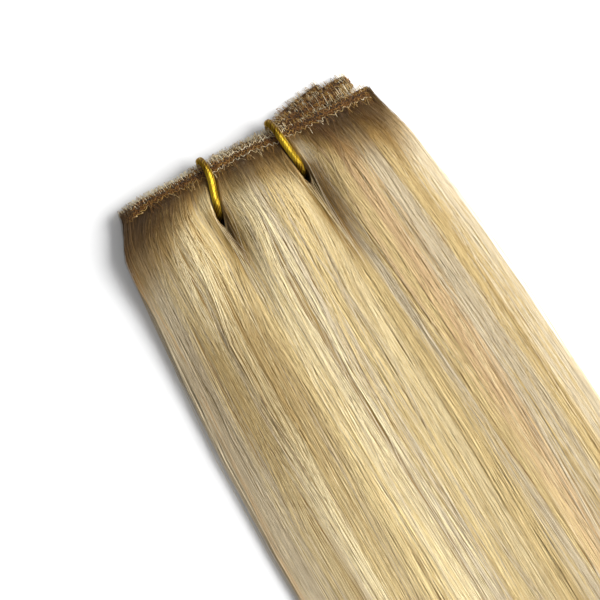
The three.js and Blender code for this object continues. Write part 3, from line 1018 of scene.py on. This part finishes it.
class WEFT_OT_hair(bpy.types.Operator):
    """Lay the strands of the four layers of hair"""

    bl_idname = "weft.hair"
    bl_label = "Hair"

    def execute(self, context):
        hair = context.scene.weft_hair
        rng = np.random.default_rng(hair.seed)
        blond, inside = hair_finish(hair), core_finish(hair)
        for layer in LAYERS:
            add_piece(layer_core(layer, rng), inside, "hair", layer.name)
            if layer is TOP:
                edges = bay_edges(layer)
                parts = list(zip(BAYS, edges, edges[1:]))
            else:
                parts = [("all", 0.0, 1.0)]
            total = hair.top_strands if layer is TOP else hair.lower_strands
            for part, low, high in parts:
                count = int(total * (high - low))
                paths, share, wisp = strands(layer, low, high, count, rng, hair)
                tones = hair_tones(share, wisp, rng)
                across = pile_side(layer.level, paths)
                group = strand_group(paths, share, tones, across, rng, hair)
                name = layer.name.replace("layer", "strands") + "_" + part
                add_piece(tube_mesh(name, [group]), blond, "hair")
        groups = []
        for end in (0, 1):
            paths, share, across = side_hairs(end, hair.side_hairs, rng)
            tones = hair_tones(share, np.arange(len(share)), rng)
            groups.append(strand_group(paths, share, tones, across, rng, hair))
        add_piece(tube_mesh("hair_strands_1_sides", groups), blond, "hair")
        paths, share, length = baby_hairs(hair.baby_hairs, rng)
        tones = hair_tones(share, np.arange(len(share)), rng)
        across = pile_side(TOP.level, paths)
        short = strand_group(paths, share, tones, across, rng, hair, length)
        paths, share = stray_hairs(rng)
        family = rng.choice(STRAY_FAMILIES, len(share))
        tones = family, rng.uniform(*STRAY_LIGHTS, len(share))
        across = pile_side(TOP.level, paths)
        stray = strand_group(paths, share, tones, across, rng, hair, shaded=STRAY_SHADED)
        add_piece(tube_mesh("loose_hairs", [short, stray]), blond, "hair")
        return {"FINISHED"}


def band_sections():
    """The band from its free end on top to the one on the table: length, front, across, up."""
    fronts, backs = [], []
    for number, layer in enumerate(LAYERS):
        edge = hair_edge(layer)
        x = np.linspace(layer.left, layer.right, int((layer.right - layer.left) / BAND_STEP))
        if number % 2 == 0:
            x = x[::-1]
        y = edge(x)
        front = np.stack([x, y, layer_middle(layer, x, y)], axis=1)
        turn = np.arctan2(edge(x + 1) - edge(x - 1), 2)
        back_x, back_y = x - BAND_WIDTH * np.sin(turn), y + BAND_WIDTH * np.cos(turn)
        back = np.stack([back_x, back_y, layer_middle(layer, back_x, back_y)], axis=1)
        back = front + unit(back - front) * BAND_WIDTH
        if number:
            angle = np.linspace(0, pi, FOLD_STEPS + 1)[1:-1, None]
            outward = 1 if number % 2 == 0 else -1
            for ends, nexts in ((fronts, front), (backs, back)):
                a, b = ends[-1][-1], nexts[0]
                out = np.array([outward * np.linalg.norm(b - a) / 2, 0, 0])
                ends.append((a + b) / 2 + (a - b) / 2 * np.cos(angle) + out * np.sin(angle))
        fronts.append(front)
        backs.append(back)
    front, back = np.concatenate(fronts), np.concatenate(backs)
    middle = (front + back) / 2
    across = (back - front) / BAND_WIDTH
    up = unit(np.cross(unit(np.gradient(middle, axis=0)), -across))
    steps = np.linalg.norm(np.diff(middle, axis=0), axis=1)
    return np.concatenate([[0], np.cumsum(steps)]), front, across, up


def on_band(sections, length, across, height):
    """Points at a length along the band, across it from the hair's side, and above its middle."""
    at, *lines = sections
    front, side, up = (np.stack([np.interp(length, at, line[:, i]) for i in range(3)], axis=-1)
                       for line in lines)
    return front + side * across[..., None] + up * height[..., None]


# The outline across the band's base: from the hair's side, and above its middle.
RIBBON = np.array([(0.0, 0.0), (0.7, 0.38), (2.5, 0.42), (4.3, 0.36), (BAND_WIDTH, 0.0),
                   (4.3, -0.36), (2.5, -0.42), (0.7, -0.38)])
RIBBON_STEP = 1.0


def band_ribbon(sections):
    """The base of the band: a closed ribbon that is thinner at its edges."""
    length = np.arange(0, sections[0][-1], RIBBON_STEP)
    points = in_frame(on_band(sections, length[:, None], RIBBON[:, 0], RIBBON[:, 1]))
    bm = bmesh.new()
    rim = [bm.verts.new(point) for point in points[0]]
    bm.faces.new(rim)
    edges = [bm.edges.get((rim[i], rim[i - 1])) for i in range(len(rim))]
    for row in points[1:]:
        made = bmesh.ops.extrude_edge_only(bm, edges=edges)["geom"]
        old = {edge.other_vert(v): v for v in rim for edge in v.link_edges}
        new = [part for part in made if isinstance(part, bmesh.types.BMVert)]
        rim = [next(v for v in new if old.get(v) is r) for r in rim]
        for vert, point in zip(rim, row):
            vert.co = point
        edges = [part for part in made if isinstance(part, bmesh.types.BMEdge)
                 and part.verts[0] in new and part.verts[1] in new]
    bm.faces.new(rim)
    return mesh_from(bm, "sewn_band_base")


# Rows of stitching: middle and reach across the band, pitch, thickness and height of the thread,
# its tone and how it varies, and how much fairer it is away from the left end.
StitchRow = namedtuple("StitchRow", "centre reach pitch radius height tone vary fairer")
STITCH_ROWS = (
    StitchRow(0.4, 0.80, 2.1, 0.13, 0.54, 0.58, 0.14, 0.32),
    StitchRow(1.1, 0.50, 1.3, 0.15, 0.52, 0.24, 0.10, 0.06),
    StitchRow(1.9, 0.55, 1.5, 0.16, 0.56, 0.32, 0.12, 0.06),
    StitchRow(2.7, 0.30, 1.2, 0.15, 0.62, 0.08, 0.06, 0.10),
    StitchRow(3.6, 0.80, 1.9, 0.11, 0.60, 0.34, 0.16, 0.46),
)
STITCH_STEPS = 6
STITCH_END = 0.3
STITCH_SWINGS = (0.3, 1.4)
STITCH_UNEVEN = 0.2
STITCH_LIFT = 0.05
ROUND_EDGE = (4.5, 5.6)
FAIR_XS = (-24, 0)
FAN_XS = (12, 20)
FAN_BROWN = 0.6
FAN_BROWN_BACK = 0.85
THREAD_TONES = (0.02, 0.97)


def stitch_paths(sections, row, face, rng):
    """One row of uneven zigzag stitching along a face of the band, and its tone along it."""
    total = sections[0][-1]
    turns = int(total / row.pitch) * 2
    swing = np.where(np.arange(turns + 1) % 2, 1, -1) * rng.uniform(*STITCH_SWINGS, turns + 1)
    place = np.linspace(STITCH_END, total - STITCH_END, turns + 1)
    place[1:-1] += rng.normal(0, STITCH_UNEVEN * row.pitch, turns - 1)
    at = np.arange(turns * STITCH_STEPS // 2 + 1) / (STITCH_STEPS / 2)
    before = np.minimum(at.astype(int), turns - 1)
    share = at - before
    turned = (1 - np.cos(pi * share)) / 2
    across = row.centre + row.reach * mix(swing[before], swing[before + 1], turned)
    length = mix(place[before], place[before + 1], share)
    height = face * row.height * (1 - smooth(across, *ROUND_EDGE))
    height = height + rng.normal(0, STITCH_LIFT, len(at))
    path = on_band(sections, length, across, height)
    own = rng.normal(0, row.vary, turns + 1)
    brown = FAN_BROWN_BACK if row.centre > BAND_WIDTH / 2 else FAN_BROWN
    fair = smooth(path[:, 0], *FAIR_XS) * (1 - brown * smooth(path[:, 0], *FAN_XS))
    tone = row.tone + mix(own[before], own[before + 1], share) + row.fairer * fair
    return path, np.clip(tone, *THREAD_TONES)


# The looped-back roots: how far they stand out, lean, lie up and start on the band, and their tone.
LOOP_END = 0.4
LOOP_STEPS = 9
LOOP_REACH, LOOP_REACHES, LOOP_SKEW = 2.1, (0.1, 1.0), 1.4
LOOP_LEAN = 0.6
LOOP_TOPS = (0.46, 0.62)
LOOP_STARTS = (2.3, 4.2)
LOOP_FAN_START = 1.1
LOOP_ROUND = 0.8
LOOP_UNEVEN = 0.3
LOOP_TONE = 0.74
LOOP_RADIUS = 0.06


def band_loops(sections, rng, band):
    """The folded-over roots of the hair, which stand past the band's outer edge in small loops."""
    total = sections[0][-1]
    spots = np.arange(LOOP_END, total - LOOP_END, band.loop_pitch / MM)
    each = (len(spots), 1)
    turn = np.linspace(0, 1, LOOP_STEPS)
    reach = rng.uniform(*LOOP_REACHES, each) ** LOOP_SKEW * LOOP_REACH
    lean = rng.normal(0, LOOP_LEAN, each)
    top = rng.uniform(*LOOP_TOPS, each)
    fan = smooth(on_band(sections, spots, np.zeros(1), np.zeros(1))[:, :1], *FAN_XS)
    start = rng.uniform(*LOOP_STARTS, each) + LOOP_FAN_START * fan
    across = mix(start, BAND_WIDTH + reach, np.sin(pi * turn) ** LOOP_ROUND)
    length = spots[:, None] + rng.normal(0, LOOP_UNEVEN, each) + lean * (turn - 0.5)
    return on_band(sections, np.clip(length, 0, total), across, top * np.cos(pi * turn))


# Short ends that lie from a layer's band down over the first of its hair: between which places
# along the band, how many, from how far up it, how far over the hair, their lean, size and tone.
Ends = namedtuple("Ends", "layer low high count on over lean radius tone")
ROOT_ENDS = (
    Ends(0, -39.0, 48.8, 230, (0.2, 1.6), (0.8, 3.4), 0.9, 0.06, 0.28),
    Ends(1, 24.0, 38.0, 9, (4.2, 5.2), (0.5, 4.0), 0.4, 0.06, 0.70),
    Ends(1, 35.0, 44.4, 42, (2.4, 4.0), (1.0, 4.5), 0.4, 0.07, 0.84),
    Ends(2, 34.0, 44.4, 26, (4.2, 5.2), (1.0, 2.0), 0.4, 0.07, 0.42),
)
ROOT_ON_BAND = 0.62
ROOT_ON_HAIR = 0.05
ROOT_TURN = (0.8, -0.8)
ROOT_ARCH = 0.12

# How loops are fairer at the left, painted light where the band's back edge lies in shade, and
# in the middle, and browner in the fan, along the band.
LOOP_LEFT, LOOP_LEFT_XS = 0.25, (14, 30)
LOOP_MIDDLE, LOOP_MIDDLE_XS = 0.14, (-16, -10, 10, 16)
LOOP_FAN, LOOP_FAN_XS = 0.2, (12, 20, 40, 44)
ENDS_VARY = 0.28
ENDS_TONES = (0.05, 0.97)


def root_ends(ends, rng):
    """Short ends of hair, from the band down over the hair."""
    layer = LAYERS[ends.layer]
    edge = hair_edge(layer)
    x = rng.uniform(ends.low, ends.high, ends.count)[:, None]
    on, over = (rng.uniform(*span, (ends.count, 1)) for span in (ends.on, ends.over))
    turn = np.linspace(0, 1, LOOP_STEPS)
    x = x + rng.normal(0, ends.lean, (ends.count, 1)) * turn
    y = edge(x) + mix(on, -over, turn)
    band = layer_middle(layer, x, y) + ROOT_ON_BAND
    hair = surface(layer.level, x, y) + ROOT_ON_HAIR
    z = mix(band, hair, smooth(y - edge(x), *ROOT_TURN)) + ROOT_ARCH * np.sin(pi * turn)
    return np.stack([x, y, z], axis=2)


def band_finish(band):
    """The base of the band: brown thread over close cross-lying hair, dark enough to stand as
    painted shade in the gaps between the stitches.
    """
    finish = Finish("band_base")
    fine, bump = finish.streaks((3200.0, 420.0, 900.0), 2.0, 0.8)
    colour = finish.ramp(fine, (0.42, band.thread_dark), (0.66, band.thread_brown),
                         (0.90, band.thread_tan))
    return finish.close({"Base Color": colour, "Roughness": 0.6 + 0.25 * fine, "Normal": bump})


def thread_finish(band):
    """Sewing thread from dark brown to cream."""
    finish = Finish("band_thread")
    tone = finish.map_part("X")
    colour = finish.ramp(tone, (0.0, band.thread_dark), (0.3, band.thread_brown),
                         (0.6, band.thread_tan), (0.95, band.thread_cream))
    return finish.close({"Base Color": colour, "Roughness": 0.55 + 0.15 * tone})


class BandSettings(bpy.types.PropertyGroup):
    """Sizes and colours of the sewn band."""

    seed: whole_setting("Seed", "Seed of the stitches", 11)
    loop_pitch: value_setting(
        "Loop pitch", "Spacing of the folded-over roots", 0.00032, unit="LENGTH")
    thread_dark: colour_setting("Dark thread", "Thread in the stitches' shade", srgb(40, 28, 11))
    thread_brown: colour_setting("Brown thread", "Golden-brown thread", srgb(130, 84, 25))
    thread_tan: colour_setting("Tan thread", "Fair thread", srgb(180, 141, 68))
    thread_cream: colour_setting("Cream loops", "Folded-over roots", srgb(240, 226, 190))


class WEFT_OT_band(bpy.types.Operator):
    """Make the sewn band, its stitches and the folded-over roots"""

    bl_idname = "weft.band"
    bl_label = "Sewn band"

    def execute(self, context):
        band = context.scene.weft_band
        rng = np.random.default_rng(band.seed)
        sections = band_sections()
        add_piece(band_ribbon(sections), band_finish(band), "band_thread", "sewn_band")
        thread = thread_finish(band)
        groups = []
        for row in STITCH_ROWS:
            for face in (1, -1):
                path, tone = stitch_paths(sections, row, face, rng)
                groups.append(tube_group(path[None], row.radius, tone[None]))
        add_piece(tube_mesh("band_stitches", groups), thread, "band_thread")
        made = [(band_loops(sections, rng, band), LOOP_TONE, LOOP_RADIUS, 1)]
        made += [(root_ends(ends, rng), ends.tone, ends.radius, 0) for ends in ROOT_ENDS]
        groups = []
        for paths, tone, radius, loop in made:
            x = paths[:, 0, 0]
            # Painted light: the loops at the left end are made fairer where the band's back edge
            # lies in shade.
            fair = LOOP_LEFT * smooth(-x, *LOOP_LEFT_XS)
            fair = fair + LOOP_MIDDLE * between(x, *LOOP_MIDDLE_XS)
            fair = fair - LOOP_FAN * between(x, *LOOP_FAN_XS)
            tones = rng.normal(tone, ENDS_VARY, len(paths)) + fair * loop
            groups.append(tube_group(paths, radius, np.clip(tones, *ENDS_TONES)))
        add_piece(tube_mesh("band_root_ends", groups), thread, "band_thread")
        return {"FINISHED"}


# The steps of a tie's route between two of its stops and of the cord along it, and the size of its
# elastic core and of the threads round that.
ROUTE_STEPS = 24
CORD_STEPS = 260
ELASTIC_INSET = 0.08
ELASTIC_SIDES = 8
WRAP_INSET = 0.03
WRAP_RADIUS = 0.17
CORD_SIDE = (1.0, 0.0, 0.0)

# The tones of the threads, and the part of a tie's top where a highlight is painted into them;
# elsewhere the threads' tones are painted darker.
ELASTIC_TONE = 0.1
WRAP_TONES = (0.1, 0.8)
HIGHLIGHT_YS = (-13.5, -9.5, -3, 2)
PAINTED_HIGHLIGHT = 0.4
HIGHLIGHT_KEPT = (0.5, 0.8)
CORD_TONES = (0.05, 0.97)


def tie_route(tie, steps):
    """The closed route of a tie: over the pile, down behind the band, under it and up again."""
    bottom = LAYERS[-1]
    back_y = hair_edge(bottom)(tie.back_x) + BAND_WIDTH + tie.back_clear + TIE_RADIUS

    def over(y):
        return float(surface(LAYER_COUNT, tie_x(tie, y), y)) + TIE_RADIUS + TIE_CLEAR

    stops = [(y, over(y)) for y in TIE_TOP_YS]
    stops += [(back_y + outward, z) for outward, z in TIE_BACK]
    stops += [(y, TIE_FLOOR_Z) for y in TIE_UNDER_YS]
    stops += [(TIE_DIVE_Y - forward, z) for forward, z in TIE_RISE]
    stops.append((TIE_DIVE_Y - TIE_TURN[0], over(TIE_DIVE_Y) - TIE_TURN[1]))
    points = np.array([(float(tie_x(tie, y)), y, z) for y, z in stops])
    gaps = np.linalg.norm(np.roll(points, -1, axis=0) - points, axis=1) ** 0.5
    count = len(points)
    t = np.linspace(0, 1, ROUTE_STEPS, endpoint=False)[:, None]

    def slope(p, d):
        """The slope of the route at the second of three stops, over the gaps between them."""
        before, after = (p[1] - p[0]) / d[0], (p[2] - p[1]) / d[1]
        return before - (p[2] - p[0]) / (d[0] + d[1]) + after

    route = []
    for i in range(count):
        p = [points[(i + k) % count] for k in (-1, 0, 1, 2)]
        d = [gaps[(i + k) % count] for k in (-1, 0, 1)]
        start, end = slope(p[:3], d[:2]) * d[1], slope(p[1:], d[1:]) * d[1]
        route.append((2 * t**3 - 3 * t**2 + 1) * p[1] + (t**3 - 2 * t**2 + t) * start
                     + (3 * t**2 - 2 * t**3) * p[2] + (t**3 - t**2) * end)
    route = np.concatenate(route)
    ring = np.concatenate([route, route[:1]])
    at = np.concatenate([[0], np.cumsum(np.linalg.norm(np.diff(ring, axis=0), axis=1))])
    wanted = np.linspace(0, at[-1], steps, endpoint=False)
    return np.stack([np.interp(wanted, at, ring[:, i]) for i in range(3)], axis=1), at[-1]


def tie_groups(tie, cord):
    """An elastic core wound with metallic threads, with a painted highlight in the threads' tones
    on the tie's top.
    """
    route, length = tie_route(tie, CORD_STEPS)
    tangent = unit(np.roll(route, -1, axis=0) - np.roll(route, 1, axis=0))
    side = across_of(tangent[None], CORD_SIDE)[0]
    up = np.cross(tangent, side)
    turns = round(length / (cord.wrap_pitch / MM))
    number = np.arange(cord.wraps)
    angle = np.arange(CORD_STEPS) / CORD_STEPS * 2 * pi * turns
    angle = (angle + (number * 2 * pi / cord.wraps)[:, None])[:, :, None]
    wraps = route + (TIE_RADIUS - WRAP_INSET) * (np.cos(angle) * side + np.sin(angle) * up)
    # Painted highlight: the threads' tones are lighter on the tie's top and darker elsewhere.
    highlight = between(route[:, 1], *HIGHLIGHT_YS)
    tones = mix(*WRAP_TONES, (number * 2 % 5) / 4)
    tones = np.clip(tones[:, None] * mix(*HIGHLIGHT_KEPT, highlight) + PAINTED_HIGHLIGHT * highlight, *CORD_TONES)
    return [tube_group(route[None], TIE_RADIUS - ELASTIC_INSET, np.array([ELASTIC_TONE]),
                       sides=ELASTIC_SIDES, closed=True, reference=CORD_SIDE),
            tube_group(wraps, WRAP_RADIUS, tones, closed=True, reference=CORD_SIDE)]


def cord_finish(cord):
    """Metallic gold thread, brighter and deeper by turns, and with the painted highlight its tones
    carry.
    """
    finish = Finish("gold_cord")
    tone = finish.map_part("X")
    colour = finish.ramp(tone, (0.1, cord.gold_deep), (0.9, cord.gold_bright))
    return finish.close({"Base Color": colour, "Metallic": 0.85, "Roughness": 0.42 - 0.14 * tone})


class CordSettings(bpy.types.PropertyGroup):
    """Sizes and colours of the gold ties."""

    wraps: whole_setting("Threads", "Metallic threads wound round the elastic", 15, 2)
    wrap_pitch: value_setting("Pitch", "Length of one turn of a thread", 0.0085, unit="LENGTH")
    gold_deep: colour_setting("Deep gold", "Gold in the windings' shade", srgb(112, 76, 8))
    gold_bright: colour_setting("Bright gold", "Gold of the outer threads", srgb(255, 216, 64))


class WEFT_OT_ties(bpy.types.Operator):
    """Wind the two gold ties round the folded band"""

    bl_idname = "weft.ties"
    bl_label = "Gold ties"

    def execute(self, context):
        cord = context.scene.weft_cord
        gold = cord_finish(cord)
        for tie in TIES:
            mesh = tube_mesh(tie.name + "_cord", tie_groups(tie, cord))
            add_piece(mesh, gold, "gold_cord", tie.name)
        return {"FINISHED"}


# Half the floor's side, how far from the band toward the hair the light aims, and the camera's
# sensor and the distances that it sees.
FLOOR_REACH = 4.0
AIM_SHARE = 0.25
SENSOR_WIDTH = 36.0
CLIP = (0.01, 50.0)


class StageSettings(bpy.types.PropertyGroup):
    """Camera, light and floor."""

    azimuth: value_setting("Azimuth", "Turn of the camera round the pack", radians(-29.5),
                           subtype="ANGLE")
    elevation: value_setting("Elevation", "Camera's angle above the floor", radians(68),
                             subtype="ANGLE")
    camera_place: place_setting("Camera", "Place of the camera", (-0.14028, -0.09014, 0.65803))
    lens: value_setting("Lens", "Focal length of the camera", 128.57, unit="CAMERA")
    key_power: value_setting("Key light", "Power of the large light", 250.0, unit="POWER")
    key_size: value_setting("Key size", "Side of the large light", 3.0, unit="LENGTH")
    key_place: place_setting("Key place", "Place of the large light", (2.15, -1.25, 1.46))
    sky: value_setting("Sky", "Strength of the light from all round", 0.38)
    floor: colour_setting("Floor", "Colour of the floor", (0.93, 0.93, 0.93))


class WEFT_OT_stage(bpy.types.Operator):
    """Set up the floor, the light and the camera"""

    bl_idname = "weft.stage"
    bl_label = "Stage"

    def execute(self, context):
        stage = context.scene.weft_stage
        scene = context.scene
        bm = bmesh.new()
        bmesh.ops.create_grid(bm, x_segments=2, y_segments=2, size=FLOOR_REACH)
        mesh = bpy.data.meshes.new("floor")
        bm.to_mesh(mesh)
        bm.free()
        finish = Finish("floor_paper")
        at = finish.node("ShaderNodeTexCoord", {}, {}, "Object")
        grain = finish.node("ShaderNodeTexNoise", {}, {"Vector": at, "Scale": 60.0})
        mesh.materials.append(finish.close(
            {"Base Color": (*stage.floor, 1.0), "Roughness": 0.75 + 0.1 * grain}))
        floor = add_object("floor", mesh)

        lamp = bpy.data.lights.new("key", "AREA")
        lamp.energy = stage.key_power
        lamp.size = stage.key_size
        key = add_object("key", lamp)
        key.location = stage.key_place
        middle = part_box("sewn_band")[0].lerp(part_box("hair_layer_1")[0], AIM_SHARE)
        middle.x = 0
        key.rotation_euler = (middle - key.location).to_track_quat("-Z", "Y").to_euler()

        world = bpy.data.worlds.new("studio")
        world.use_nodes = True
        background = world.node_tree.nodes["Background"]
        background.inputs["Color"].default_value = (1.0, 1.0, 1.0, 1.0)
        background.inputs["Strength"].default_value = stage.sky
        scene.world = world
        scene.view_settings.view_transform = "Standard"

        data = bpy.data.cameras.new("camera")
        data.lens = stage.lens
        data.sensor_width = SENSOR_WIDTH
        data.clip_start, data.clip_end = CLIP
        camera = add_object("camera", data)
        camera.location = stage.camera_place
        camera.rotation_euler = (pi / 2 - stage.elevation, 0.0, stage.azimuth)
        scene.camera = camera
        return {"FINISHED"}


class WEFT_PT_panel(bpy.types.Panel):
    """The weft's pieces, in the order they are made"""

    bl_idname = "WEFT_PT_panel"
    bl_label = "Hair Weft"
    bl_space_type = "VIEW_3D"
    bl_region_type = "UI"
    bl_category = "Hair Weft"

    def draw(self, context):
        for operator in OPERATORS:
            self.layout.operator(operator.bl_idname)


SETTINGS = {
    "weft_hair": HairSettings,
    "weft_band": BandSettings,
    "weft_cord": CordSettings,
    "weft_stage": StageSettings,
}
OPERATORS = (WEFT_OT_stage, WEFT_OT_hair, WEFT_OT_band, WEFT_OT_ties)


def register():
    for group in SETTINGS.values():
        bpy.utils.register_class(group)
    for operator in (*OPERATORS, WEFT_PT_panel):
        bpy.utils.register_class(operator)
    for name, group in SETTINGS.items():
        setattr(bpy.types.Scene, name, bpy.props.PointerProperty(type=group))


def unregister():
    for name in SETTINGS:
        delattr(bpy.types.Scene, name)
    for operator in (WEFT_PT_panel, *reversed(OPERATORS)):
        bpy.utils.unregister_class(operator)
    for group in SETTINGS.values():
        bpy.utils.unregister_class(group)


def main():
    register()
    bpy.ops.weft.stage()
    bpy.ops.weft.hair()
    bpy.ops.weft.band()
    bpy.ops.weft.ties()


if __name__ == "__main__":
    main()
